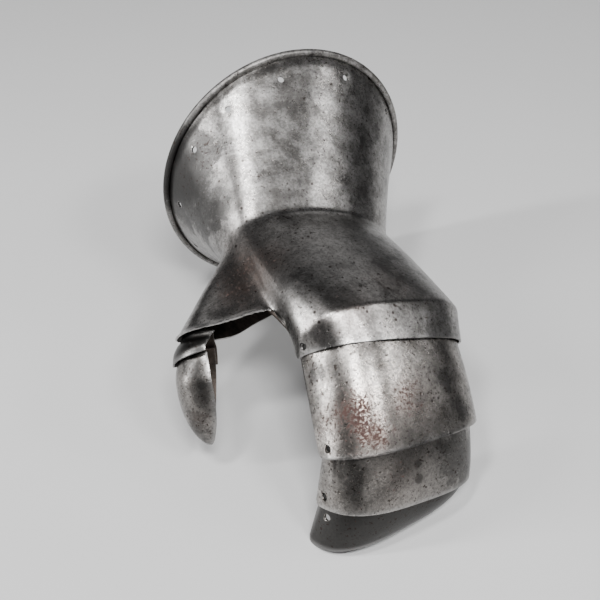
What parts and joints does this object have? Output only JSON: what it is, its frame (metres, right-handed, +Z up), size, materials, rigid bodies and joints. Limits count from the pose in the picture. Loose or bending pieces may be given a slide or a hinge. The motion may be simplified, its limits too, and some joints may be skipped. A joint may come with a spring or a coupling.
{
  "type": "mitten gauntlet",
  "caption": "Steel mitten gauntlet for the left hand: flared cuff with rolled rim, hand plate, hinged finger lames and fixed thumb lames.",
  "frame": {"origin": "middle of the bounding box's footprint, on the surface that the gauntlet lies on", "axes": "+Z up, +Y from the fingers to the cuff, +X from the thumb to the little finger; it lies palm down on the cuff's rim and the last finger lame"},
  "size_m": [0.2028, 0.238, 0.1664],
  "materials": {
    "plate_steel": "aged polished steel, worn bright, with a mottled grey patina and fine pits",
    "lame_steel": "aged steel with a grey patina, fine pits and small rust-brown spots",
    "pin_steel": "dark oxidised steel"
  },
  "bodies": {
    "hand": {"main_plate": "plate_steel", "thumb_lame_1": "lame_steel", "thumb_lame_2": "lame_steel", "thumb_rivet_1": "pin_steel", "thumb_rivet_2": "pin_steel", "pin_1_index": "pin_steel", "pin_1_little": "pin_steel"},
    "lame_1": {"finger_lame_1": "lame_steel", "pin_2_index": "pin_steel", "pin_2_little": "pin_steel"},
    "lame_2": {"finger_lame_2": "lame_steel", "pin_3_index": "pin_steel", "pin_3_little": "pin_steel"},
    "lame_3": {"finger_lame_3": "lame_steel"}
  },
  "joints": [
    {"name": "knuckle_hinge", "type": "hinge", "parent": "hand", "child": "lame_1", "pos_m": [0.01016, -0.03977, 0.06764], "axis": [0.9313, 0.0383, -0.3623], "range_deg": [-6, 20]},
    {"name": "middle_hinge", "type": "hinge", "parent": "lame_1", "child": "lame_2", "pos_m": [0.00232, -0.08009, 0.04361], "axis": [0.9639, 0.127, -0.2342], "range_deg": [-6, 20]},
    {"name": "tip_hinge", "type": "hinge", "parent": "lame_2", "child": "lame_3", "pos_m": [-0.00643, -0.09202, 0.0209], "axis": [0.9736, 0.0933, -0.2082], "range_deg": [-6, 20]}
  ]
}
